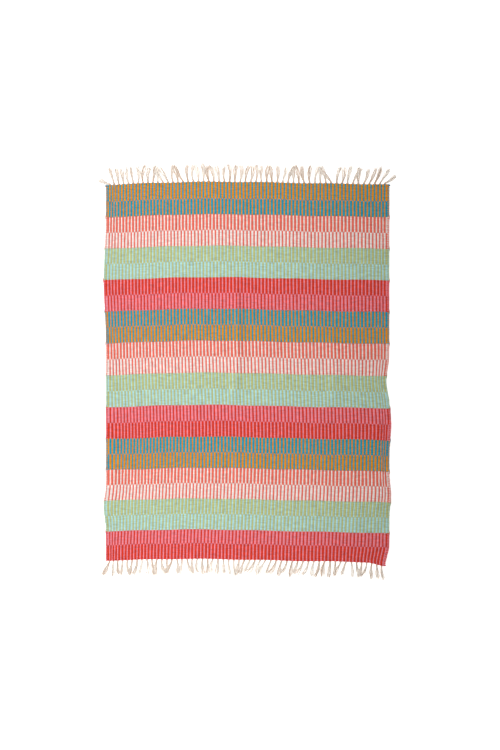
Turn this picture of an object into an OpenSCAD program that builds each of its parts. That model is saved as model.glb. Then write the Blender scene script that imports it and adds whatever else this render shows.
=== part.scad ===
// Flat-woven striped bath mat with a knotted fringe at both ends.
// It lies face up on z = 0, +X across the stripes, +Y along the warp towards the orange end.
// Twelve bands, each in two weft colours, are packed over 162 cotton warps, thick and thin by turns.
// Each rib is the weft wrapped round one warp. The two colours change ribs half way down each band.

/* [Weave] */
// Pairs of ribs across the mat, one thick and one thin in each pair
rib_pairs = 81; // [12:3:99]
// Centre distance of neighbouring ribs
rib_pitch = 3.65; // [2.8:0.05:5]
// Length of one half band along the warp
half_band_l = 33.3; // [12:0.1:60]
// Thickness of the packed weft round a warp
weft_t = 1; // [0.6:0.05:1.3]
// Height of the groove between two ribs
groove_h = 2.6; // [2:0.1:3]

/* [Warp] */
// Diameter of a thick warp
thick_warp_d = 2; // [1.2:0.05:2.4]
// Diameter of a thin warp
thin_warp_d = 1.2; // [0.8:0.05:1.8]
// Diameter of the cord in each selvedge
selvedge_d = 2.2; // [1.4:0.05:2.6]
// Radial gap between a warp and the weft round it
warp_fit = 0.05; // [0.03:0.01:0.2]

/* [Ends] */
// Length of the locking picks that hold the last band at each end
heading_l = 2.4; // [1.5:0.1:6]
// Length over which the warps of a tassel draw together
gather_l = 2.4; // [1:0.1:6]
// Diameter of a tassel knot
knot_d = 4; // [3.2:0.1:5]
// Length of a tassel knot
knot_l = 3.6; // [2:0.1:8]
// Warps knotted into one tassel
warps_per_tassel = 3; // [3:3:6]

/* [Fringe] */
// Length of the loose strands beyond the knot
strand_l = 36; // [15:1:80]
// Diameter of one loose strand
strand_d = 1.6; // [1:0.1:2]
// How far the longest and the shortest strand differ from strand_l
strand_vary = 3; // [0:0.5:6]
// Angle between neighbouring strands of a tassel
strand_fan = 3.5; // [2.5:0.5:5]
// Lean of the corner tassels away from the mat
corner_lean = 34; // [0:1:50]

/* [Selvedge yarns] */
// Diameter of the yarn carried along the edge from band to band
carried_d = 1.8; // [1:0.1:2.5]
// Length of the carried yarn that shows at each change of band
carried_l = 12; // [6:1:20]
// Diameter of the knot that ends a weft yarn at a corner
corner_knot_d = 4.4; // [3:0.2:6]

/* [Hidden] */
$fn = 48;
// The colour on the thick ribs in the first half of each band, then the one in its second half.
BANDS = [
    ["orange", "blue"], ["coral", "white"], ["olive", "sky"], ["red", "pink"],
    ["blue", "orange"], ["coral", "white"], ["olive", "sky"], ["pink", "red"],
    ["blue", "orange"], ["coral", "white"], ["olive", "sky"], ["pink", "red"],
];
halves = 2 * len(BANDS);
ribs = 2 * rib_pairs;
thick_rib_d = thick_warp_d + 2 * weft_t;
thin_rib_d = thin_warp_d + 2 * weft_t;
selvedge_rib_d = selvedge_d + 2 * weft_t;
edge_x = (ribs + 1) / 2 * rib_pitch;
body_l = halves * half_band_l;
warp_l = body_l + 2 * heading_l;
tassels = ribs / warps_per_tassel;
tassel_pitch = warps_per_tassel * rib_pitch;
// Strands stand clear of each other where they leave the knot: two below, one above between them.
strand_gap = 0.04;
strand_x = strand_d / 2 + strand_gap / 2;
strand_z = strand_d / 2 + strand_gap;
strand_rise = sqrt(pow(strand_d + strand_gap, 2) - pow(strand_x, 2));

function two_digits(n) = str(n < 10 ? "0" : "", n);
function weft_colour(h) = BANDS[floor(h / 2)][h % 2];
function weft_name(h) = str("weft_", two_digits(floor(h / 2) + 1), h % 2 == 0 ? "a_" : "b_", weft_colour(h));

function yarn(name) =
    name == "orange" ? "#EE932D" :
    name == "blue" ? "#2892B7" :
    name == "coral" ? "#E16759" :
    name == "white" ? "#F1E9E6" :
    name == "olive" ? "#B1B276" :
    name == "sky" ? "#B7D8DC" :
    name == "red" ? "#CC3B2D" :
    name == "pink" ? "#EA96A4" : "#E8DFD2";

// Even ribs are thick and odd ribs are thin.
function rib_x(i) = (i - (ribs - 1) / 2) * rib_pitch;
function is_thick(i) = i % 2 == 0;

// The thick, the thin and the selvedge ribs as seen along the warp. All rest on z = 0.
module rib_circles(thick_d, thin_d, side_d, fit) {
    for (i = [0 : ribs - 1])
        translate([rib_x(i), (is_thick(i) ? thick_rib_d : thin_rib_d) / 2])
            circle(d = (is_thick(i) ? thick_d : thin_d) + 2 * fit);
    for (side = [-1, 1])
        translate([side * edge_x, selvedge_rib_d / 2]) circle(d = side_d + 2 * fit);
}

// A length of cloth that ends at y_end, with a tunnel for every warp.
module woven(length, y_end) {
    translate([0, y_end, 0]) rotate([90, 0, 0]) linear_extrude(length) difference() {
        union() {
            translate([-edge_x, 0]) square([2 * edge_x, groove_h]);
            rib_circles(thick_rib_d, thin_rib_d, selvedge_rib_d, 0);
        }
        rib_circles(thick_warp_d, thin_warp_d, selvedge_d, warp_fit);
    }
}

// One half of a band. Half 0 is at the orange end.
module weft_half(h) {
    color(yarn(weft_colour(h))) woven(half_band_l, body_l / 2 - h * half_band_l);
}

// Twined locking picks, blue at the top and red at the bottom.
module heading_top() {
    color(yarn("blue")) woven(heading_l, body_l / 2 + heading_l);
}
module heading_bottom() {
    color(yarn("red")) woven(heading_l, -body_l / 2);
}

// A cotton thread along the whole cloth.
module warp(x, z, d) {
    translate([x, warp_l / 2, z]) rotate([90, 0, 0]) cylinder(h = warp_l, d = d);
}
module warps_thick() {
    color(yarn("cotton")) for (i = [0 : 2 : ribs - 1]) warp(rib_x(i), thick_rib_d / 2, thick_warp_d);
}
module warps_thin() {
    color(yarn("cotton")) for (i = [1 : 2 : ribs - 1]) warp(rib_x(i), thin_rib_d / 2, thin_warp_d);
}
module selvedge_cord(side) {
    color(yarn("cotton")) warp(side * edge_x, selvedge_rib_d / 2, selvedge_d);
}

// Short floats of yarn against the edge, where each band hands over to the next.
module carried_yarn(side) {
    x = side * (edge_x + selvedge_rib_d / 2 + carried_d / 2);
    for (b = [1 : len(BANDS) - 1])
        color(yarn(BANDS[b][0])) translate([x, body_l / 2 - 2 * b * half_band_l, selvedge_rib_d / 2])
            rotate([90, 0, 0]) union() {
                cylinder(h = carried_l - carried_d, d = carried_d, center = true);
                for (end = [-1, 1]) translate([0, 0, end * (carried_l - carried_d) / 2]) sphere(d = carried_d);
            }
}

// The locking yarn's two ends, knotted outside the first and last rib.
module corner_knots() {
    for (side = [-1, 1])
        color(yarn("blue"))
            translate([side * (edge_x + selvedge_rib_d / 2 + corner_knot_d / 2), body_l / 2, corner_knot_d / 2])
                sphere(d = corner_knot_d);
}

function tassel_x(t) = (t - (tassels - 1) / 2) * tassel_pitch;
knot_y = warp_l / 2 + gather_l;

// Tassels lean with a slow ripple along the fringe, and the corner ones lean outwards.
function out(t) = tassel_x(t) / tassel_x(tassels - 1);
function lean(t) = corner_lean * sign(out(t)) * pow(abs(out(t)), 24) + 2 * sin(t * 47) * (1 - pow(out(t), 8));
module leaning(t) { translate([tassel_x(t), knot_y, 0]) rotate([0, 0, -lean(t)]) children(); }

// The warps of each tassel drawn together and knotted. The corner ones take in the selvedge cord.
gather_x = (tassel_pitch - rib_pitch) / 2 + thin_rib_d / 4;
corner_x = edge_x + selvedge_d / 2 - tassel_x(tassels - 1);
module knots() {
    color(yarn("cotton")) for (t = [0 : tassels - 1]) union() {
        translate([tassel_x(t), 0, knot_d / 2 - thick_warp_d / 2]) linear_extrude(thick_warp_d)
            polygon([[t == 0 ? -corner_x : -gather_x, warp_l / 2],
                     [t == tassels - 1 ? corner_x : gather_x, warp_l / 2],
                     [knot_d / 3, knot_y + knot_l / 4], [-knot_d / 3, knot_y + knot_l / 4]]);
        leaning(t) translate([0, knot_l, knot_d / 2]) rotate([90, 0, 0]) cylinder(h = knot_l, d = knot_d);
    }
}

// One strand: s = -1 and 1 lie on the floor, 0 starts above them and comes down between them.
module strand(s, length) {
    drop = s == 0 ? asin(strand_rise / length) : 0;
    translate([s * strand_x, knot_l + strand_d * sin(strand_fan), strand_z + (s == 0 ? strand_rise : 0)])
        rotate([-90 - drop, 0, -s * strand_fan]) cylinder(h = length, d = strand_d);
}
module tassels() {
    longer = rands(-strand_vary, strand_vary, 3 * tassels, 7);
    color(yarn("cotton")) for (t = [0 : tassels - 1]) leaning(t)
        for (s = [-1 : 1]) strand(s, strand_l + longer[3 * t + s + 1]);
}

// The two ends are one shape turned half way round, which keeps the origin in the middle.
module other_end() { rotate([0, 0, 180]) children(); }

for (h = [0 : halves - 1]) weft_half(h);
heading_top();
heading_bottom();
warps_thick();
warps_thin();
selvedge_cord(-1);  // selvedge_cord_left
selvedge_cord(1);  // selvedge_cord_right
carried_yarn(-1);  // carried_yarn_left
carried_yarn(1);  // carried_yarn_right
corner_knots();
knots();  // knots_top
other_end() knots();  // knots_bottom
tassels();  // tassels_top
other_end() tassels();  // tassels_bottom
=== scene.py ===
import math

import bpy
import numpy as np
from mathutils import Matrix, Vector


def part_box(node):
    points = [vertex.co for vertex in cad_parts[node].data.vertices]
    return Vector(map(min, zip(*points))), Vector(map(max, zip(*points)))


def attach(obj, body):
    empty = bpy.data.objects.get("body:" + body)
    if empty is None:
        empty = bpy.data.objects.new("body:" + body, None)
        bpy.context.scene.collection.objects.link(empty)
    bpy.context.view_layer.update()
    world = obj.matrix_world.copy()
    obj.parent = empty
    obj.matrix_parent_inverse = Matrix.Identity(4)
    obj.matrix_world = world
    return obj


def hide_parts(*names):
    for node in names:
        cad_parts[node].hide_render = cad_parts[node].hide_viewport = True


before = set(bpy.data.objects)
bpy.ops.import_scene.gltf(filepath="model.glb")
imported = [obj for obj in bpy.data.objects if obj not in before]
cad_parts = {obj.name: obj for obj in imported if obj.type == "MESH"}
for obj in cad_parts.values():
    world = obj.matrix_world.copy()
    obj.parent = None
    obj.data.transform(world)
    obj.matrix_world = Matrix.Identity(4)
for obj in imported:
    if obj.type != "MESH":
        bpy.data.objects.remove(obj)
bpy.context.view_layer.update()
print("frame loaded")

# A flat-woven cotton bath mat lying face up, the orange end towards +Y. Lengths are in metres.
weftLow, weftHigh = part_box("weft_01a_orange")
halfWidth, clothTop = weftHigh.x, weftHigh.y
halfBandLength = weftHigh.y - weftLow.y

mat = {
    "ribPairs": 81,           # one thick and one thin rib in each pair
    "ribPitch": 0.00365,
    "thickShare": 0.605,      # part of a pair's width that the thick rib takes
    "middle": 0.0020,         # height of the cloth's middle layer above the floor
    "floatsPerHalf": 18,      # picks of one colour seen in half a band
}
ribs = 2 * mat["ribPairs"]
floatLength = halfBandLength / mat["floatsPerHalf"]
headingLength = 0.0024

# Colour on the thick ribs in the first half of each band, then the one in its second half
bands = (
    ("orange", "blue"), ("coral", "white"), ("olive", "sky"), ("red", "pink"),
    ("blue", "orange"), ("coral", "white"), ("olive", "sky"), ("pink", "red"),
    ("blue", "orange"), ("coral", "white"), ("olive", "sky"), ("pink", "red"),
)


def linear(code):
    parts = [int(code[i:i + 2], 16) / 255 for i in (1, 3, 5)]
    out = [c / 12.92 if c <= 0.04045 else ((c + 0.055) / 1.055) ** 2.4 for c in parts]
    return (*out, 1.0)


def toned(code, amount):
    # A dye's linear colour, lighter or darker
    return (*[min(1.0, c * amount) for c in linear(code)[:3]], 1.0)


def addNode(tree, kind, inputs=None, **settings):
    # One node with its settings. An input takes a value, or another node's socket to link from.
    node = tree.nodes.new(kind)
    for name, value in settings.items():
        setattr(node, name, value)
    for key, value in (inputs or {}).items():
        if isinstance(value, bpy.types.NodeSocket):
            tree.links.new(value, node.inputs[key])
        else:
            node.inputs[key].default_value = value
    return node


def newTree(name, sizes):
    # A Geometry Nodes tree whose named inputs are the sizes of the piece it makes
    tree = bpy.data.node_groups.new(name, "GeometryNodeTree")
    tree.interface.new_socket("Geometry", in_out="INPUT", socket_type="NodeSocketGeometry")
    for label, kind in sizes.items():
        tree.interface.new_socket(label, in_out="INPUT", socket_type="NodeSocket" + kind)
    tree.interface.new_socket("Geometry", in_out="OUTPUT", socket_type="NodeSocketGeometry")
    return tree, addNode(tree, "NodeGroupInput").outputs, addNode(tree, "NodeGroupOutput").inputs[0]


def growPiece(name, tree, values, base):
    # Runs the tree on a base mesh and keeps the result as a plain mesh at the origin
    piece = bpy.data.objects.new(name, base)
    bpy.context.collection.objects.link(piece)
    grow = piece.modifiers.new("grow", "NODES")
    grow.node_group = tree
    for item in tree.interface.items_tree:
        if item.in_out == "INPUT" and item.name in values:
            grow[item.identifier] = values[item.name]
    graph = bpy.context.evaluated_depsgraph_get()
    mesh = bpy.data.meshes.new_from_object(
        piece.evaluated_get(graph), preserve_all_data_layers=True, depsgraph=graph)
    piece.modifiers.clear()
    piece.data = mesh
    mesh.name = name
    return piece


def easeIn(low, high, value):
    t = np.clip((value - low) / (high - low), 0, 1)
    return t * t * (3 - 2 * t)


# How the mat lies: not quite square, its sides drawn in and let out by the weaver's beat
lay = {
    "squeeze": 0.035,         # the ribs stand closer on the left
    # the beat leaves the band edges late: everywhere, more round the eighth band, not at the red end
    "late": 0.0020,
    "lateMore": 0.0045,
    "lateRow": 8.0,
    "lateRows": 2.5,
    "lateEnd": 0.0070,
    "lateWave": 0.0013,       # and a wave in that from left to right
    "lateTurn": 3.7,
    # the ribs sway to the right, most in the ninth band, and spread from left to right
    "sway": 0.0060,
    "swayRow": 8.2,
    "swayRows": 2.4,
    "swayBack": 0.0027,       # and come back to the left in the last bands
    "swayBackRow": 9.4,
    "spread": 0.0028,
    "spreadTurn": 2.2,
    "bow": 0.0051,            # the picks bow towards the orange end in the middle
    "bowGrowth": 0.0019,
    "ripple": 0.0011,
    "scallop": 0.0009,        # the tassels pull the ends in between their knots
    "undulation": 0.0007,
    "corner": 0.007,          # the red end's right corner is drawn round towards its last tassel
    "creaseBend": 0.006,      # a crease runs this far off a straight line
    "fringeFlat": 0.014,      # the fringe lies flat this far past the cloth
}
# Where a side bellies out or is drawn in: side, middle y, reach, push outwards
bulges = (
    (-1, -0.28, 0.03, 0.005),
    (-1, 0.20, 0.08, 0.005),
    (1, -0.40, 0.02, -0.008),
    (1, -0.25, 0.03, 0.004),
    (1, -0.10, 0.04, 0.004),
    (1, -0.01, 0.03, -0.006),
)
# Soft creases left from folding: middle x and y, length, width, height
creases = (
    (-0.016, 0.066, 0.30, 0.009, 0.0044),
    (-0.044, 0.090, 0.08, 0.012, 0.0012),
    (0.186, -0.015, 0.10, 0.013, 0.0030),
    (0.224, -0.300, 0.08, 0.016, 0.0020),
    (-0.190, -0.210, 0.18, 0.020, 0.0012),
)


def layCloth(points):
    # Moves flat points, cloth and fringe alike, to where the mat lies on the floor
    x, y, z = points.T.copy()
    u = np.clip(x / halfWidth, -1.05, 1.05)
    yCloth = np.clip(y, -clothTop - headingLength, clothTop + headingLength)
    v = yCloth / clothTop
    beyond = np.abs(y - yCloth)
    side = np.zeros_like(u)
    for edge, middle, reach, push in bulges:
        side += edge * push * (u * edge > 0) * np.exp(-((yCloth - middle) / reach) ** 2)
    corner = easeIn(0.86, 1.0, u) * easeIn(0.93, 1.0, -v)
    dx = lay["squeeze"] * halfWidth * (np.minimum(u * u, 1) - 1) + side * np.abs(u) ** 6
    dy = -u * u * (lay["bow"] + lay["bowGrowth"] * u * (1 - v)) - lay["corner"] * corner
    row = np.clip((clothTop - yCloth) / (2 * halfBandLength), 0, len(bands))
    late = lay["late"] + lay["lateMore"] * np.exp(-((row - lay["lateRow"]) / lay["lateRows"]) ** 2)
    late -= lay["lateEnd"] * easeIn(len(bands) - 1, len(bands), row)
    dy -= late + lay["lateWave"] * np.sin(lay["lateTurn"] * u)
    sway = lay["sway"] * np.exp(-((row - lay["swayRow"]) / lay["swayRows"]) ** 2)
    sway += lay["spread"] * np.sin(lay["spreadTurn"] * u)
    sway -= lay["swayBack"] * easeIn(lay["swayBackRow"], len(bands), row)
    dx += sway * (1 - easeIn(0.9, 1.0, np.abs(u)))
    # the factors inside the sines only set where the ripple and the slow swell fall
    dy += lay["ripple"] * np.sin(9.1 * u + 2.6 * v + 0.7) * np.sin(3.7 * v + 5.2 * u)
    nearEnd = easeIn(clothTop - 0.006, clothTop + headingLength, np.abs(yCloth)) * np.sign(y)
    tasselTurn = 2 * np.pi * (x / (3 * mat["ribPitch"]) - 0.5)
    dy -= lay["scallop"] * np.cos(tasselTurn) * nearEnd * (beyond < 1e-6)
    lift = lay["undulation"] * (1 + np.sin(11 * x + 2.2) * np.sin(8.3 * yCloth + 0.4))
    for cx, cy, length, width, height in creases:
        across = (x - cx - lay["creaseBend"] * np.sin(17 * yCloth)) / width
        along = easeIn(0.5 * length, 0.32 * length, np.abs(yCloth - cy))
        lift += height * along * np.exp(-across * across)
    lift *= 1 - easeIn(0.0, lay["fringeFlat"], beyond)
    return np.stack([x + dx, y + dy, np.maximum(z, 0) + lift], axis=1)


def layPiece(piece):
    mesh = piece.data
    points = np.empty(3 * len(mesh.vertices), np.float32)
    mesh.vertices.foreach_get("co", points)
    mesh.vertices.foreach_set("co", layCloth(points.reshape(-1, 3).astype(float)).ravel().astype(np.float32))
    mesh.update()
    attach(piece, "root")
    return piece


# One colour a dye
dyes = {
    "orange": "#E29006", "blue": "#0A95B4",
    "coral": "#EA6A57", "white": "#F8E2DD",
    "olive": "#BCBE7C", "sky": "#AEDADA",
    "red": "#D8331A", "pink": "#EC8896",
}
yarnLook = {
    "lightTone": 1.17,        # a pick that took less dye, and one that took more
    "darkTone": 0.78,
    "fibre": 0.0004,          # a staple cotton fibre is 0.015 mm; drawn this coarse so that it shows
    "lint": 0.0008,           # short fibres that stand out of the yarn
    "plyTwist": 0.0016,       # one turn of the ply
    "bump": 0.00016,
}


def dyedYarn(name, dye):
    # Dyed, ring-spun two-ply cotton, packed hard by the beater: matt, fibrous, with painted shade that
    # darkens its colour in the grooves
    material = bpy.data.materials.new(name)
    material.use_nodes = True
    tree = material.node_tree
    shader = tree.nodes["Principled BSDF"]
    shader.inputs["Roughness"].default_value = 0.9
    shader.inputs["Specular IOR Level"].default_value = 0.2
    shader.inputs["Sheen Weight"].default_value = 0.12
    shader.inputs["Sheen Roughness"].default_value = 0.5
    place = addNode(tree, "ShaderNodeAttribute", attribute_name="weave").outputs["Vector"]
    lift = addNode(tree, "ShaderNodeAttribute", attribute_name="lift").outputs["Fac"]
    # each pick takes the dye a little differently, in streaks along the weft
    streak = addNode(tree, "ShaderNodeVectorMath", {0: place, 1: (60, 520, 60)}, operation="MULTIPLY")
    picks = addNode(tree, "ShaderNodeTexNoise", {0: streak.outputs[0], 2: 1.0, 3: 2.0, 4: 0.6})
    fibre = addNode(tree, "ShaderNodeTexNoise", {0: place, 2: 1 / yarnLook["fibre"], 3: 1.0, 4: 0.5})
    tone = addNode(tree, "ShaderNodeMath", {0: picks.outputs[0], 1: 1.1, 2: -0.52}, operation="MULTIPLY_ADD")
    tone = addNode(tree, "ShaderNodeMath", {0: fibre.outputs[0], 1: 0.55, 2: tone.outputs[0]},
                   operation="MULTIPLY_ADD")
    spread = addNode(tree, "ShaderNodeMapRange", {0: tone.outputs[0], 1: 0.15, 2: 0.5, 3: 0.0, 4: 1.0})
    mixed = addNode(tree, "ShaderNodeMix", {0: spread.outputs[0], 6: toned(dye, yarnLook["lightTone"]),
                                              7: toned(dye, yarnLook["darkTone"])}, data_type="RGBA")
    # short undyed fibres and lint that catch the light
    fleck = addNode(tree, "ShaderNodeTexNoise", {0: place, 2: 1 / yarnLook["lint"], 3: 1.0, 4: 0.4})
    fleck = addNode(tree, "ShaderNodeMapRange", {0: fleck.outputs[0], 1: 0.64, 2: 0.74, 3: 0.0, 4: 0.16})
    flecked = addNode(tree, "ShaderNodeMix",
                      {0: fleck.outputs[0], 6: mixed.outputs[2], 7: linear("#FBF3EA")}, data_type="RGBA")
    # painted shade: the colour is darkened where the surface sinks into the grooves between ribs
    paintedGrooveShade = addNode(tree, "ShaderNodeMapRange", {0: lift, 1: 0.0, 2: 0.6, 3: 0.66, 4: 1.0})
    shaded = addNode(tree, "ShaderNodeVectorMath", {0: flecked.outputs[2], "Scale": paintedGrooveShade.outputs[0]},
                     operation="SCALE")
    tree.links.new(shaded.outputs[0], shader.inputs["Base Color"])
    rough = addNode(tree, "ShaderNodeMapRange", {0: fibre.outputs[0], 1: 0.3, 2: 0.7, 3: 0.82, 4: 0.96})
    tree.links.new(rough.outputs[0], shader.inputs["Roughness"])
    twist = addNode(tree, "ShaderNodeTexWave", {0: place, 1: 0.314 / yarnLook["plyTwist"], 2: 1.5, 3: 1.0},
                    wave_type="BANDS", bands_direction="DIAGONAL")
    relief = addNode(tree, "ShaderNodeMath", {0: fibre.outputs[0], 1: 0.8, 2: twist.outputs["Fac"]},
                     operation="MULTIPLY_ADD")
    bump = addNode(tree, "ShaderNodeBump", {"Height": relief.outputs[0], "Strength": 0.7,
                                            "Distance": yarnLook["bump"]})
    tree.links.new(bump.outputs[0], shader.inputs["Normal"])
    return material


def naturalCotton(name, light, dark, withBump):
    # Undyed warp cotton, loosely twisted: cream to tan by each strand's own tone, with tan painted shade
    # where the strands lie close together
    material = bpy.data.materials.new(name)
    material.use_nodes = True
    tree = material.node_tree
    shader = tree.nodes["Principled BSDF"]
    shader.inputs["Roughness"].default_value = 0.92
    shader.inputs["Specular IOR Level"].default_value = 0.15
    shader.inputs["Sheen Weight"].default_value = 0.2
    tone = addNode(tree, "ShaderNodeAttribute", attribute_name="tone").outputs["Fac"]
    place = addNode(tree, "ShaderNodeTexCoord").outputs["Object"]
    fibre = addNode(tree, "ShaderNodeTexNoise", {0: place, 2: 900.0, 3: 1.0, 4: 0.5})
    mottled = addNode(tree, "ShaderNodeMath", {0: fibre.outputs[0], 1: 0.5, 2: -0.25},
                      operation="MULTIPLY_ADD")
    blend = addNode(tree, "ShaderNodeMath", {0: tone, 1: mottled.outputs[0]},
                    operation="ADD", use_clamp=True)
    mixed = addNode(tree, "ShaderNodeMix", {0: blend.outputs[0], 6: linear(light), 7: linear(dark)},
                    data_type="RGBA")
    tree.links.new(mixed.outputs[2], shader.inputs["Base Color"])
    if withBump:
        bump = addNode(tree, "ShaderNodeBump", {"Height": fibre.outputs[0], "Strength": 0.6,
                                                "Distance": 0.0002})
        tree.links.new(bump.outputs[0], shader.inputs["Normal"])
    return material


yarns = {name: dyedYarn(f"dyed_cotton_{name}", dye) for name, dye in dyes.items()}
fringeCotton = naturalCotton("natural_cotton_fringe", "#FCF6ED", "#B98E68", True)
warpCotton = naturalCotton("natural_cotton_warp", "#F0E6D8", "#CDB899", False)
print("materials made")


weave = {
    "thickHalf": 0.00200,     # half the cloth's thickness at a thick rib
    "thinHalf": 0.00165,
    "selvedgeHalf": 0.00210,
    "grooveHalf": 0.00080,    # and in the groove between two ribs
    "floatDip": 0.00038,      # how far the cloth dips between two picks
    "uneven": 0.00022,        # hand-spun unevenness
    "wander": 0.0016,         # the ribs wander this far sideways
    "turnRadius": 0.00165,    # the weft's turn round the selvedge
    "turnYarn": 0.00062,
    "turnInset": 0.0019,      # from the edge to the middle of the turns
}
ribCentre = (np.arange(ribs) - (ribs - 1) / 2) * mat["ribPitch"]


def crossLines(shares, lead):
    # x of the lines across the cloth, and how many ribs each has passed. The even ribs are the
    # full ones where lead is 0, and the odd ones where it is 1.
    full = np.arange(ribs) % 2 == lead
    ribHalf = np.where(full, mat["thickShare"], 1 - mat["thickShare"]) * mat["ribPitch"]
    grooves = np.concatenate([[-halfWidth], ribCentre - ribHalf, [ribCentre[-1] + ribHalf[-1], halfWidth]])
    passed = (np.arange(ribs + 2)[:, None] + np.array(shares)[None, :]).ravel()
    passed = np.append(passed, ribs + 2)
    return np.interp(passed, np.arange(ribs + 3), grooves), passed


def blankBand(name, floats, lead):
    # Flat face and back with a rim, one row of quads to half a float. The tree gives it its relief.
    faceX, facePassed = crossLines((0, 0.15, 0.5, 0.85), lead)
    backX, backPassed = crossLines((0, 0.5), lead)
    faceRows, backRows = 2 * floats + 1, floats + 1
    facePick, backPick = np.arange(faceRows) / 2, np.arange(backRows).astype(float)
    verts, passed, pick, side = [], [], [], []
    for xs, ps, picks, up in ((faceX, facePassed, facePick, 1.0), (backX, backPassed, backPick, -1.0)):
        gx, gy = np.meshgrid(xs, -picks * floatLength)
        verts.append(np.stack([gx.ravel(), gy.ravel(), np.full(gx.size, up * 0.001)], axis=1))
        passed.append(np.tile(ps, len(picks)))
        pick.append(np.repeat(picks, len(ps)))
        side.append(np.full(gx.size, up))
    nf, nb, base = len(faceX), len(backX), len(faceX) * faceRows
    r, c = np.meshgrid(np.arange(faceRows - 1), np.arange(nf - 1), indexing="ij")
    a = (r * nf + c).ravel()
    faces = np.stack([a + nf, a + nf + 1, a + 1, a], axis=1).tolist()
    r, c = np.meshgrid(np.arange(backRows - 1), np.arange(nb - 1), indexing="ij")
    a = (base + r * nb + c).ravel()
    faces += np.stack([a, a + 1, a + nb + 1, a + nb], axis=1).tolist()
    for row, backRow, flip in ((0, 0, False), (faceRows - 1, backRows - 1, True)):
        for k in range(nb - 1):
            f, b = row * nf + 2 * k, base + backRow * nb + k
            loop = [f, f + 1, f + 2, b + 1, b]
            faces.append(loop[::-1] if flip else loop)
    for col, backCol, flip in ((0, 0, True), (nf - 1, nb - 1, False)):
        for k in range(backRows - 1):
            f, b = 2 * k * nf + col, base + k * nb + backCol
            loop = [f, f + nf, f + 2 * nf, b + nb, b]
            faces.append(loop[::-1] if flip else loop)
    mesh = bpy.data.meshes.new(name)
    mesh.from_pydata(np.concatenate(verts).tolist(), [], faces)
    for label, values in (("passed", passed), ("pick", pick), ("side", side)):
        layer = mesh.attributes.new(label, "FLOAT", "POINT")
        layer.data.foreach_set("value", np.concatenate(values).astype(np.float32))
    return mesh


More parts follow.
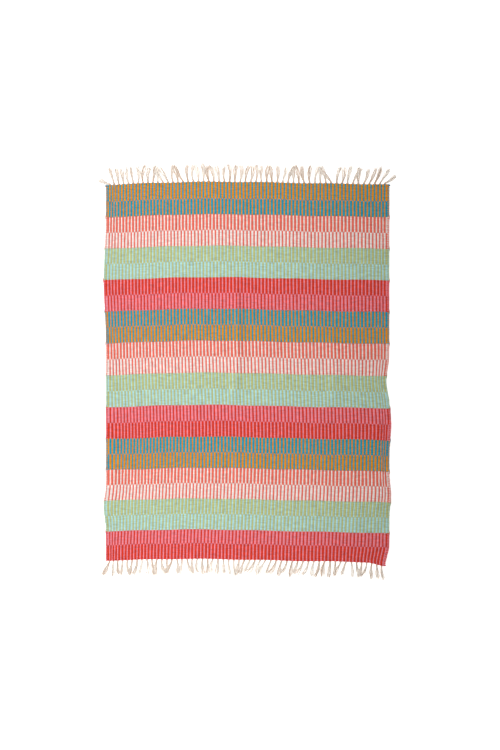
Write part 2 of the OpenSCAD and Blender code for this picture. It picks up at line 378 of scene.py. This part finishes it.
def weaveTree():
    # Weft-faced weave. One yarn covers the thick ribs and the other the thin ones, half a float
    # further on; they change places half way down the band, and on the back.
    tree, sizes, finished = newTree("weft faced weave", {
        "Top edge": "Float", "Middle height": "Float", "Thick half": "Float", "Thin half": "Float",
        "Selvedge half": "Float", "Groove half": "Float", "Float dip": "Float", "Uneven": "Float",
        "Wander": "Float", "Picks per half": "Float", "Ribs": "Float",
        "First yarn": "Material", "Second yarn": "Material",
        "Turn radius": "Float", "Turn yarn": "Float", "Turns": "Int", "Edge": "Float",
        "Float length": "Float", "Lead": "Float", "Seed": "Int",
    })

    passed = addNode(tree, "GeometryNodeInputNamedAttribute", {0: "passed"}).outputs[0]
    pick = addNode(tree, "GeometryNodeInputNamedAttribute", {0: "pick"}).outputs[0]
    side = addNode(tree, "GeometryNodeInputNamedAttribute", {0: "side"}).outputs[0]
    rib = addNode(tree, "ShaderNodeMath", {0: passed}, operation="FLOOR").outputs[0]
    phase = addNode(tree, "ShaderNodeMath", {0: passed}, operation="FRACT").outputs[0]
    # the full ribs are the odd ones in one band and the even ones in the next
    thick = addNode(tree, "ShaderNodeMath", {0: rib, 1: sizes["Lead"]}, operation="ADD").outputs[0]
    thick = addNode(tree, "ShaderNodeMath", {0: thick, 1: 2.0}, operation="MODULO").outputs[0]
    # the selvedge is the first rib and the last
    inside = addNode(tree, "ShaderNodeMath", {0: rib, 1: 0.5}, operation="GREATER_THAN").outputs[0]
    before = addNode(tree, "ShaderNodeMath", {0: rib, 1: sizes["Ribs"]}, operation="LESS_THAN").outputs[0]
    body = addNode(tree, "ShaderNodeMath", {0: inside, 1: before}, operation="MULTIPLY").outputs[0]

    # which yarn shows: rib, half of the band and side of the cloth each swap it
    half = addNode(tree, "ShaderNodeMath", {0: pick, 1: sizes["Picks per half"]},
                   operation="DIVIDE").outputs[0]
    half = addNode(tree, "ShaderNodeMath", {0: half}, operation="FLOOR").outputs[0]
    back = addNode(tree, "ShaderNodeMath", {0: side, 1: 0.0}, operation="LESS_THAN").outputs[0]
    swaps = addNode(tree, "ShaderNodeMath", {0: thick, 1: half}, operation="ADD").outputs[0]
    swaps = addNode(tree, "ShaderNodeMath", {0: swaps, 1: back}, operation="ADD").outputs[0]
    pickNumber = addNode(tree, "ShaderNodeMath", {0: pick}, operation="FLOOR").outputs[0]
    shown = addNode(tree, "GeometryNodeSwitch", {0: body, 1: pickNumber, 2: swaps},
                    input_type="FLOAT").outputs[0]
    shown = addNode(tree, "ShaderNodeMath", {0: shown, 1: 2.0}, operation="MODULO").outputs[0]
    isFirst = addNode(tree, "ShaderNodeMath", {0: shown, 1: 0.5}, operation="GREATER_THAN").outputs[0]
    isSecond = addNode(tree, "ShaderNodeMath", {0: shown, 1: 0.5}, operation="LESS_THAN").outputs[0]
    painted = addNode(tree, "GeometryNodeSetMaterial",
                      {0: sizes["Geometry"], 1: isFirst, 2: sizes["First yarn"]}).outputs[0]
    painted = addNode(tree, "GeometryNodeSetMaterial",
                      {0: painted, 1: isSecond, 2: sizes["Second yarn"]}).outputs[0]

    # where each point is on the flat cloth, for the patterns in the yarn
    lowered = addNode(tree, "ShaderNodeCombineXYZ", {1: sizes["Top edge"]}).outputs[0]
    placed = addNode(tree, "GeometryNodeSetPosition", {0: painted, 3: lowered}).outputs[0]
    flat = addNode(tree, "GeometryNodeInputPosition").outputs[0]
    placed = addNode(tree, "GeometryNodeStoreNamedAttribute", {0: placed, 2: "weave", 3: flat},
                     data_type="FLOAT_VECTOR", domain="POINT").outputs[0]

    # height of the surface above and below the middle layer
    rise = addNode(tree, "ShaderNodeMath", {0: phase, 1: math.pi}, operation="MULTIPLY").outputs[0]
    rise = addNode(tree, "ShaderNodeMath", {0: rise}, operation="SINE").outputs[0]
    rise = addNode(tree, "ShaderNodeMath", {0: rise, 1: 0.5}, operation="POWER").outputs[0]
    ribSize = addNode(tree, "GeometryNodeSwitch", {0: thick, 1: sizes["Thin half"], 2: sizes["Thick half"]},
                      input_type="FLOAT").outputs[0]
    ribSize = addNode(tree, "GeometryNodeSwitch", {0: body, 1: sizes["Selvedge half"], 2: ribSize},
                      input_type="FLOAT").outputs[0]
    beat = addNode(tree, "ShaderNodeMath", {0: thick, 1: 0.5, 2: pick}, operation="MULTIPLY_ADD").outputs[0]
    beat = addNode(tree, "ShaderNodeMath", {0: beat, 1: 2 * math.pi}, operation="MULTIPLY").outputs[0]
    beat = addNode(tree, "ShaderNodeMath", {0: beat}, operation="COSINE").outputs[0]
    dip = addNode(tree, "ShaderNodeMath", {0: beat, 1: -0.5, 2: -0.5}, operation="MULTIPLY_ADD").outputs[0]
    slubs = addNode(tree, "ShaderNodeTexNoise", {0: flat, 2: 420.0, 3: 1.0, 4: 0.5}).outputs[0]
    slubs = addNode(tree, "ShaderNodeMath", {0: slubs, 1: -0.75}, operation="ADD").outputs[0]
    slubs = addNode(tree, "ShaderNodeMath", {0: slubs, 1: sizes["Uneven"]}, operation="MULTIPLY").outputs[0]
    height = addNode(tree, "ShaderNodeMath", {0: dip, 1: sizes["Float dip"], 2: slubs},
                     operation="MULTIPLY_ADD").outputs[0]
    height = addNode(tree, "ShaderNodeMath", {0: height, 1: ribSize}, operation="ADD").outputs[0]
    height = addNode(tree, "ShaderNodeMath", {0: height, 1: sizes["Groove half"]},
                     operation="SUBTRACT").outputs[0]
    height = addNode(tree, "ShaderNodeMath", {0: height, 1: rise, 2: sizes["Groove half"]},
                     operation="MULTIPLY_ADD").outputs[0]
    height = addNode(tree, "ShaderNodeMath", {0: height, 1: side, 2: sizes["Middle height"]},
                     operation="MULTIPLY_ADD").outputs[0]

    # the ribs wander a little, all points of one line together
    slow = addNode(tree, "ShaderNodeVectorMath", {0: flat, 1: (140.0, 42.0, 0.0)},
                   operation="MULTIPLY").outputs[0]
    drift = addNode(tree, "ShaderNodeTexNoise", {0: slow, 2: 1.0, 3: 3.0, 4: 0.62}).outputs[0]
    drift = addNode(tree, "ShaderNodeMath", {0: drift, 1: -0.5}, operation="ADD").outputs[0]
    drift = addNode(tree, "ShaderNodeMath", {0: drift, 1: sizes["Wander"]}, operation="MULTIPLY").outputs[0]
    apart = addNode(tree, "ShaderNodeSeparateXYZ", {0: flat}).outputs
    sideways = addNode(tree, "ShaderNodeMath", {0: apart[0], 1: drift}, operation="ADD").outputs[0]
    target = addNode(tree, "ShaderNodeCombineXYZ", {0: sideways, 1: apart[1], 2: height}).outputs[0]
    # the rise is kept as "lift", which the yarn colour reads to paint shade into the grooves
    placed = addNode(tree, "GeometryNodeStoreNamedAttribute", {0: placed, 2: "lift", 3: rise},
                     data_type="FLOAT", domain="POINT").outputs[0]
    cloth = addNode(tree, "GeometryNodeSetPosition", {0: placed, 2: target}).outputs[0]

    # the weft turns round each selvedge cord, the two yarns by turns
    loops = []
    for edgeSign in (-1, 1):
        edgeX = addNode(tree, "ShaderNodeMath", {0: sizes["Edge"], 1: edgeSign},
                        operation="MULTIPLY").outputs[0]
        startY = addNode(tree, "ShaderNodeMath", {0: sizes["Float length"], 1: -0.5, 2: sizes["Top edge"]},
                         operation="MULTIPLY_ADD").outputs[0]
        start = addNode(tree, "ShaderNodeCombineXYZ",
                        {0: edgeX, 1: startY, 2: sizes["Middle height"]}).outputs[0]
        down = addNode(tree, "ShaderNodeMath", {0: sizes["Float length"], 1: -1.0},
                       operation="MULTIPLY").outputs[0]
        step = addNode(tree, "ShaderNodeCombineXYZ", {1: down}).outputs[0]
        row = addNode(tree, "GeometryNodeMeshLine", {0: sizes["Turns"], 2: start, 3: step},
                      mode="OFFSET").outputs[0]
        arc = addNode(tree, "GeometryNodeCurveArc",
                      {0: 7, 4: sizes["Turn radius"], 5: -math.pi * 0.56, 6: math.pi * 1.12},
                      mode="RADIUS").outputs[0]
        ring = addNode(tree, "GeometryNodeCurvePrimitiveCircle", {0: 5, 4: sizes["Turn yarn"]},
                       mode="RADIUS").outputs[0]
        loop = addNode(tree, "GeometryNodeCurveToMesh", {0: arc, 1: ring, 2: 1.0, 3: True}).outputs[0]
        # the arc's own plane is turned upright, opening towards the cloth
        upright = addNode(tree, "GeometryNodeTransform",
                          {0: loop, 2: (math.pi / 2, 0.0, 0.0 if edgeSign > 0 else math.pi)}).outputs[0]
        lean = addNode(tree, "FunctionNodeRandomValue",
                       {0: (-0.1, -0.1, -0.35), 1: (0.1, 0.1, 0.35), 8: sizes["Seed"]},
                       data_type="FLOAT_VECTOR").outputs[0]
        plump = addNode(tree, "FunctionNodeRandomValue",
                        {0: (0.85, 0.9, 0.85), 1: (1.4, 1.25, 1.05), 8: sizes["Seed"]},
                        data_type="FLOAT_VECTOR").outputs[0]
        placedLoops = addNode(tree, "GeometryNodeInstanceOnPoints",
                              {0: row, 2: upright, 5: lean, 6: plump}).outputs[0]
        number = addNode(tree, "GeometryNodeInputIndex").outputs[0]
        number = addNode(tree, "ShaderNodeMath", {0: number, 1: 2.0}, operation="MODULO").outputs[0]
        marked = addNode(tree, "GeometryNodeStoreNamedAttribute", {0: placedLoops, 2: "turn", 3: number},
                         data_type="FLOAT", domain="INSTANCE").outputs[0]
        loops.append(addNode(tree, "GeometryNodeRealizeInstances", {0: marked}).outputs[0])
    joined = addNode(tree, "GeometryNodeJoinGeometry")
    for loop in loops:
        tree.links.new(loop, joined.inputs[0])
    turn = addNode(tree, "GeometryNodeInputNamedAttribute", {0: "turn"}).outputs[0]
    odd = addNode(tree, "ShaderNodeMath", {0: turn, 1: 0.5}, operation="GREATER_THAN").outputs[0]
    even = addNode(tree, "ShaderNodeMath", {0: turn, 1: 0.5}, operation="LESS_THAN").outputs[0]
    edging = addNode(tree, "GeometryNodeSetMaterial",
                     {0: joined.outputs[0], 1: odd, 2: sizes["First yarn"]}).outputs[0]
    edging = addNode(tree, "GeometryNodeSetMaterial",
                     {0: edging, 1: even, 2: sizes["Second yarn"]}).outputs[0]
    edging = addNode(tree, "GeometryNodeStoreNamedAttribute", {0: edging, 2: "weave", 3: flat},
                     data_type="FLOAT_VECTOR", domain="POINT").outputs[0]
    # the turns round the selvedge keep full lift, so they get no painted groove shade
    edging = addNode(tree, "GeometryNodeStoreNamedAttribute", {0: edging, 2: "lift", 3: 1.0},
                     data_type="FLOAT", domain="POINT").outputs[0]
    whole = addNode(tree, "GeometryNodeJoinGeometry")
    tree.links.new(edging, whole.inputs[0])
    tree.links.new(cloth, whole.inputs[0])
    smooth = addNode(tree, "GeometryNodeSetShadeSmooth", {0: whole.outputs[0]}).outputs[0]
    tree.links.new(smooth, finished)
    return tree


clothTree = weaveTree()


def weaveBand(name, lead, top, first, second, floats, seed, perHalf=None):
    piece = growPiece(name, clothTree, {
        "Top edge": top, "Middle height": mat["middle"], "Thick half": weave["thickHalf"],
        "Thin half": weave["thinHalf"], "Selvedge half": weave["selvedgeHalf"],
        "Groove half": weave["grooveHalf"], "Float dip": weave["floatDip"], "Uneven": weave["uneven"],
        "Wander": weave["wander"], "Picks per half": float(perHalf or mat["floatsPerHalf"]),
        "Ribs": ribs + 0.5, "First yarn": yarns[first], "Second yarn": yarns[second],
        "Turn radius": weave["turnRadius"], "Turn yarn": weave["turnYarn"], "Turns": floats,
        "Edge": halfWidth - weave["turnInset"], "Float length": floatLength, "Seed": seed,
        "Lead": float(lead),
    }, blanks[floats, lead])
    return layPiece(piece)


blanks = {(floats, lead): blankBand(f"blank{floats}", floats, lead)
          for floats in (2 * mat["floatsPerHalf"], 2) for lead in (0, 1)}
for number, (first, second) in enumerate(bands):
    piece = weaveBand(f"band_{number + 1:02d}_{first}_{second}", (number + 1) % 2,
                      clothTop - 2 * number * halfBandLength, first, second,
                      2 * mat["floatsPerHalf"], 10 + number)
    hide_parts(f"weft_{number + 1:02d}a_{first}", f"weft_{number + 1:02d}b_{second}")


def yarnTree():
    # Gives every path a round section, thick as its own "radius" says
    tree, sizes, finished = newTree("yarn along paths", {"Sides": "Int", "Yarn": "Material"})
    thickness = addNode(tree, "GeometryNodeInputNamedAttribute", {0: "radius"}).outputs[0]
    curve = addNode(tree, "GeometryNodeMeshToCurve", {0: sizes["Geometry"]}).outputs[0]
    ring = addNode(tree, "GeometryNodeCurvePrimitiveCircle", {0: sizes["Sides"], 4: 1.0},
                   mode="RADIUS").outputs[0]
    tube = addNode(tree, "GeometryNodeCurveToMesh", {0: curve, 1: ring, 2: thickness, 3: True}).outputs[0]
    tube = addNode(tree, "GeometryNodeRealizeInstances", {0: tube}).outputs[0]
    tube = addNode(tree, "GeometryNodeSetShadeSmooth", {0: tube}).outputs[0]
    tube = addNode(tree, "GeometryNodeSetMaterial", {0: tube, 2: sizes["Yarn"]}).outputs[0]
    tree.links.new(tube, finished)
    return tree


spinTree = yarnTree()


def spinYarn(name, paths, sides, material, replaced):
    # paths: (points, radii, tones, colour) each; the points are on the flat mat and are laid with it
    points = np.concatenate([p[0] for p in paths])
    edges, start = [], 0
    for path in paths:
        count = len(path[0])
        edges += [(start + k, start + k + 1) for k in range(count - 1)]
        start += count
    mesh = bpy.data.meshes.new(name + "Paths")
    mesh.from_pydata(layCloth(points).tolist(), edges, [])
    for label, column in (("radius", 1), ("tone", 2)):
        layer = mesh.attributes.new(label, "FLOAT", "POINT")
        layer.data.foreach_set("value", np.concatenate(
            [np.broadcast_to(p[column], len(p[0])) for p in paths]).astype(np.float32))
    if len(paths[0]) > 3:
        layer = mesh.attributes.new("dye", "FLOAT_COLOR", "POINT")
        layer.data.foreach_set("color", np.concatenate(
            [np.tile(p[3], (len(p[0]), 1)) for p in paths]).astype(np.float32).ravel())
    piece = growPiece(name, spinTree, {"Sides": sides, "Yarn": material}, mesh)
    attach(piece, "root")
    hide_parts(*replaced)
    return piece


warps = {
    "thickRadius": 0.00095,
    "thinRadius": 0.00055,
    "selvedgeRadius": 0.00105,
    "cordInset": 0.0021,      # from the edge to the middle of the selvedge cord
    "endInset": 0.0006,       # the warps stop just inside the last pick, where the tassels take over
    "points": 81,
}
endY = clothTop + headingLength


def warpPath(x, radius):
    y = np.linspace(endY - warps["endInset"], -endY + warps["endInset"], warps["points"])
    return (np.stack([np.full_like(y, x), y, np.full_like(y, mat["middle"])], axis=1), radius, 0.3)


warpsThick = spinYarn("warps_thick_laid", [warpPath(x, warps["thickRadius"]) for x in ribCentre[::2]],
                      5, warpCotton, ["warps_thick"])
warpsThin = spinYarn("warps_thin_laid", [warpPath(x, warps["thinRadius"]) for x in ribCentre[1::2]],
                     5, warpCotton, ["warps_thin"])
cordX = halfWidth - warps["cordInset"]
cords = [spinYarn(f"selvedge_cord_{label}_laid", [warpPath(s * cordX, warps["selvedgeRadius"])],
                  6, warpCotton, [f"selvedge_cord_{label}"])
         for label, s in (("left", -1), ("right", 1))]
print("warps laid")

# Headings: a couple of locking picks past the last band at each end
headings = {
    "floats": 2,
    "showing": 0.65,          # part of the top heading that stands past the last band
    "noSwap": 99,             # more picks than it has, so its yarns never change places
}
headingShown = headings["floats"] * floatLength * headings["showing"]
headTop = weaveBand("heading_top_woven", 1, clothTop + headingShown, "orange", "blue",
                    headings["floats"], 31, perHalf=headings["noSwap"])
headBottom = weaveBand("heading_bottom_woven", 0, -clothTop, "red", "pink",
                       headings["floats"], 32, perHalf=headings["noSwap"])
for piece, node, slot in ((headTop, "heading_top", "blue_weft_yarn"),
                          (headBottom, "heading_bottom", "red_weft_yarn")):
    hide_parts(node)

fringe = {
    "strands": 8,             # the plies of three warps
    "strays": 4,              # finer fibres that have worked loose
    "points": 9,              # along a strand past its knot
    "strandRadius": 0.00066,
    "strayRadius": 0.00022,
    "neck": 0.0010,           # half width where the knot grips
    "body": 0.0034,           # half width of the loose tassel
    "knotStart": 0.0022,      # from the last pick to the knot
    "knotLength": 0.0034,
    "wrapTurns": 2.5,
    "wrapRadius": 0.00048,
    "neckHeight": 0.0019,
    "leanSlack": 2.5,         # degrees that a tassel lies off its lean
    "curl": 0.85,             # radians that a tassel bends along its length
    "heap": 0.0012,           # a tassel may lie this high on its neighbours
    "farLean": 50,            # one that leans further than this, in degrees, reaches less far
    "topReach": 0.0362,
    "bottomReach": 0.0322,
    # lean of each tassel in degrees, from left to right; plus is to the right
    "topLean": (-78, -23, -9, -11, -11, -12, 5, 2, 2, 9, -7, -25, -27, -9, -15, -33, -8, -8, -4, 0,
                -13, -10, -10, -5, 2, 2, 10, 10, 15, 7, -2, 5, -6, 3, 17, 16, 2, -8, -10, -4, 7,
                -2, -13, -38, 10, 12, 9, 25, 4, 25, 30, 24, 38, 62),
    "bottomLean": (-29, -8, 4, -3, 2, -8, -7, -9, 8, 6, -9, 4, 3, -20, 8, -8, 12, 0, -8, 0, -2,
                   -15, -6, 2, 4, 0, -10, -17, -25, -25, -20, -30, -22, -23, -12, -16, -10, -15,
                   -20, -17, -13, -8, -10, 0, -5, -22, -18, 10, 12, -10, -13, -6, 4, 8),
}


def fringePaths(sign, reach, leans, seed):
    rng = np.random.default_rng(seed)
    tassels = ribs // 3
    tasselX = (np.arange(tassels) - (tassels - 1) / 2) * 3 * mat["ribPitch"]
    strandPaths, knotPaths = [], []
    for x, leanDegrees in zip(tasselX, leans):
        lean = math.radians(leanDegrees + rng.uniform(-fringe["leanSlack"], fringe["leanSlack"]))
        curl = rng.uniform(-fringe["curl"], fringe["curl"])
        shortened = 0.85 if abs(leanDegrees) > fringe["farLean"] else 1
        length = reach * rng.uniform(0.9, 1.08) * shortened
        wide = fringe["body"] * rng.uniform(0.62, 1.1)
        layer = rng.uniform(0, fringe["heap"])
        tasselTone = rng.uniform(-0.1, 0.15)
        count = fringe["strands"] + fringe["strays"]
        for k in range(count):
            stray = k >= fringe["strands"]
            q = rng.uniform(-1, 1) if stray else 2 * k / (fringe["strands"] - 1) - 1
            s = np.linspace(0, 1, fringe["points"])
            angle = lean + curl * (s - 0.35) + (0.25 * q * s if stray else 0.04 * q * s)
            stepLength = length * (1 + rng.uniform(-0.1, 0.06)) / (len(s) - 1)
            cx = np.concatenate([[0], np.cumsum(np.sin(angle[1:]) * stepLength)])
            cy = np.concatenate([[0], np.cumsum(np.cos(angle[1:]) * stepLength)])
            # a tassel opens out from its knot and closes again towards its tip
            opened = (wide - fringe["neck"]) * easeIn(0, 0.62, s)
            width = fringe["neck"] + opened * (1 - 0.4 * easeIn(0.7, 1, s))
            wiggle = rng.uniform(0.0004, 0.0013) * s * np.sin(rng.uniform(4, 9) * s + rng.uniform(0, 6.3))
            across = q * width + wiggle + (rng.uniform(-0.5, 0.5) * 0.0016 * s)
            px = cx + across * np.cos(angle)
            py = cy - across * np.sin(angle)
            radius = fringe["strayRadius"] if stray else fringe["strandRadius"] * rng.uniform(0.8, 1.1)
            ground = radius + rng.uniform(0, 0.0013) + layer
            neckZ = fringe["neckHeight"] + 0.0007 * math.cos(3.7 * k)
            pz = neckZ + (ground - neckZ) * easeIn(0.0, 0.4, s)
            # the warps come out of the cloth a rib apart and are drawn to the knot
            rootX = q * np.array([0.0034, 0.0026, 0.0012])
            rootY = np.array([-0.0016, 0.0002, fringe["knotStart"] * 0.75])
            rootZ = np.array([mat["middle"], mat["middle"], 0.5 * (mat["middle"] + neckZ)])
            bx = np.concatenate([rootX, px])
            by = np.concatenate([rootY, fringe["knotStart"] + py])
            bz = np.concatenate([rootZ, pz])
            radii = np.full(len(bx), radius)
            radii[:3] *= 0.85
            radii[-1] *= 0.45
            # painted shade: darker near the knot, where the strands lie close together
            tone = np.full(len(bx), 0.12 + tasselTone + rng.uniform(-0.15, 0.42))
            tone[:6] += np.array([0.35, 0.35, 0.4, 0.4, 0.25, 0.1])
            strandPaths.append((np.stack([x + bx, sign * (endY + by), bz], axis=1), radii, tone))
        # one warp is wound round the rest
        turn = np.linspace(0, 1, 26)
        around = 2 * math.pi * fringe["wrapTurns"] * turn + rng.uniform(0, 6.3)
        alongAxis = 0.0012 + fringe["knotLength"] * 0.75 * turn
        grip = fringe["neck"] + 0.00055
        sx = grip * np.cos(around)
        kx = x + alongAxis * math.sin(lean) * 0.6 + sx * math.cos(lean)
        ky = endY + alongAxis * (0.4 + 0.6 * math.cos(lean)) - sx * math.sin(lean)
        kz = fringe["neckHeight"] + 0.0012 * np.sin(around)
        knotPaths.append((np.stack([kx, sign * ky, kz], axis=1), fringe["wrapRadius"], 0.5))
    return strandPaths, knotPaths


for label, sign, reach, leans, seed in (("top", 1, fringe["topReach"], fringe["topLean"], 41),
                                        ("bottom", -1, fringe["bottomReach"], fringe["bottomLean"], 42)):
    strandPaths, knotPaths = fringePaths(sign, reach, leans, seed)
    spinYarn(f"tassels_{label}_strands", strandPaths, 5, fringeCotton,
                                 [f"tassels_{label}"])
    spinYarn(f"knots_{label}_wraps", knotPaths, 5, fringeCotton,
                                 [f"knots_{label}"])


def carriedCotton():
    # Dyed two-ply cotton whose colour changes from float to float
    material = bpy.data.materials.new("dyed_cotton_carried")
    material.use_nodes = True
    tree = material.node_tree
    shader = tree.nodes["Principled BSDF"]
    shader.inputs["Roughness"].default_value = 0.9
    shader.inputs["Specular IOR Level"].default_value = 0.2
    dye = addNode(tree, "ShaderNodeAttribute", attribute_name="dye").outputs["Color"]
    place = addNode(tree, "ShaderNodeTexCoord").outputs["Object"]
    fibre = addNode(tree, "ShaderNodeTexNoise", {0: place, 2: 1500.0, 3: 1.0, 4: 0.5})
    shade = addNode(tree, "ShaderNodeMapRange", {0: fibre.outputs[0], 1: 0.3, 2: 0.7, 3: 0.75, 4: 1.05})
    shaded = addNode(tree, "ShaderNodeVectorMath", {0: dye, "Scale": shade.outputs[0]}, operation="SCALE")
    tree.links.new(shaded.outputs[0], shader.inputs["Base Color"])
    return material


def plyPaths(start, end, radius, turns, colour, bulge=0.0):
    # Two plies twisted round each other from start to end
    t = np.linspace(0, 1, 6 * turns + 1)
    axis = np.array(start)[None, :] * (1 - t)[:, None] + np.array(end)[None, :] * t[:, None]
    paths = []
    for ply in (0, math.pi):
        angle = 2 * math.pi * turns * t + ply
        points = axis.copy()
        points[:, 0] += radius * np.cos(angle) + bulge * np.sin(math.pi * t)
        points[:, 2] += radius * np.sin(angle)
        paths.append((points, radius * 1.02, 0.0, colour))
    return paths


carried = {
    "length": 0.011,
    "radius": 0.00042,
    "turns": 5,
    "height": 0.0021,
    "inset": 0.0002,          # its ends tuck in against the edge, and its middle stands off
    "bulge": 0.0008,
}
carriedYarn = carriedCotton()
for label, s in (("left", -1), ("right", 1)):
    paths = []
    for number in range(1, len(bands)):
        y = clothTop - 2 * number * halfBandLength
        x = s * (halfWidth - carried["inset"])
        start = (x, y + carried["length"] / 2, carried["height"])
        end = (x, y - carried["length"] / 2, carried["height"])
        paths += plyPaths(start, end, carried["radius"], carried["turns"], linear(dyes[bands[number][0]]),
                          bulge=s * carried["bulge"])
    spinYarn(f"carried_yarn_{label}_plies", paths, 5, carriedYarn,
                                  [f"carried_yarn_{label}"])

# The locking yarn's ends, wound into small knots outside the corners
cornerKnot = {
    "dye": "#1F7696",
    "radius": 0.0013,
    "yarnRadius": 0.00075,
    "turns": 5,
    "oval": 0.6,
    "outside": 0.0004,
    "beyond": 0.001,
    "height": 0.0025,
}
knotPaths = []
for s in (-1, 1):
    t = np.linspace(0, 1, 43)
    wind = 2 * math.pi * cornerKnot["turns"] * t
    tilt = 2 * math.pi * t
    wide = cornerKnot["radius"] * np.cos(wind)
    narrow = cornerKnot["oval"] * cornerKnot["radius"] * np.sin(wind)
    knotX = s * (halfWidth + cornerKnot["outside"]) + wide * np.cos(tilt) - narrow * np.sin(tilt)
    knotY = clothTop + cornerKnot["beyond"] + wide * np.sin(tilt) + narrow * np.cos(tilt)
    knotZ = cornerKnot["height"] + cornerKnot["radius"] * 0.8 * np.sin(wind)
    knotPaths.append((np.stack([knotX, knotY, knotZ], axis=1), cornerKnot["yarnRadius"], 0.0,
                      linear(cornerKnot["dye"])))
cornerKnots = spinYarn("corner_knots_wound", knotPaths, 5, carriedYarn, ["corner_knots"])
print("selvedge yarns laid")

# White paper on the floor, lit a little from within so that it stays white where the light falls off
studio = {"reach": 40, "paper": 0.97, "glow": 0.62}
far = studio["reach"]
floorMesh = bpy.data.meshes.new("studioFloor")
floorMesh.from_pydata([(-far, -far, 0), (far, -far, 0), (far, far, 0), (-far, far, 0)], [],
                      [(0, 1, 2, 3)])
floor = bpy.data.objects.new("studio_floor", floorMesh)
bpy.context.collection.objects.link(floor)
paper = bpy.data.materials.new("white_paper_floor")
paper.use_nodes = True
paperShader = paper.node_tree.nodes["Principled BSDF"]
paperShader.inputs["Base Color"].default_value = (studio["paper"], studio["paper"], studio["paper"], 1)
paperShader.inputs["Roughness"].default_value = 0.95
paperShader.inputs["Emission Color"].default_value = (1, 1, 1, 1)
paperShader.inputs["Emission Strength"].default_value = studio["glow"]
floorMesh.materials.append(paper)

# A long strip light along the left side, with a grid that lets its light fall off to the right
light = {
    "world": 0.42,
    "width": 0.5,
    "length": 2.8,
    "watts": 5.5,
    "spread": 0.63,
    "place": (-1.1, 0.0, 2.0),
    "aim": (-0.15, 0.0, 0.0),
}
world = bpy.data.worlds.new("studio")
world.use_nodes = True
backdrop = world.node_tree.nodes["Background"]
backdrop.inputs["Color"].default_value = (1, 1, 1, 1)
backdrop.inputs["Strength"].default_value = light["world"]
bpy.context.scene.world = world
stripData = bpy.data.lights.new("strip_light", "AREA")
stripData.shape = "RECTANGLE"
stripData.size, stripData.size_y = light["width"], light["length"]
stripData.spread = light["spread"]
stripData.energy = light["watts"]
strip = bpy.data.objects.new("strip_light", stripData)
strip.location = light["place"]
aim = Vector(light["aim"]) - Vector(light["place"])
strip.rotation_euler = (0.0, math.atan2(-aim.x, -aim.z), 0.0)
bpy.context.collection.objects.link(strip)

# Straight above the mat
view = {"x": 0.0051, "y": -0.0081, "height": 3.75, "lens": 85.0}
cameraData = bpy.data.cameras.new("camera")
cameraData.lens = view["lens"]
cameraData.sensor_width = 36.0
camera = bpy.data.objects.new("camera", cameraData)
camera.location = (view["x"], view["y"], view["height"])
bpy.context.collection.objects.link(camera)
bpy.context.scene.camera = camera
bpy.context.scene.view_settings.view_transform = "Standard"
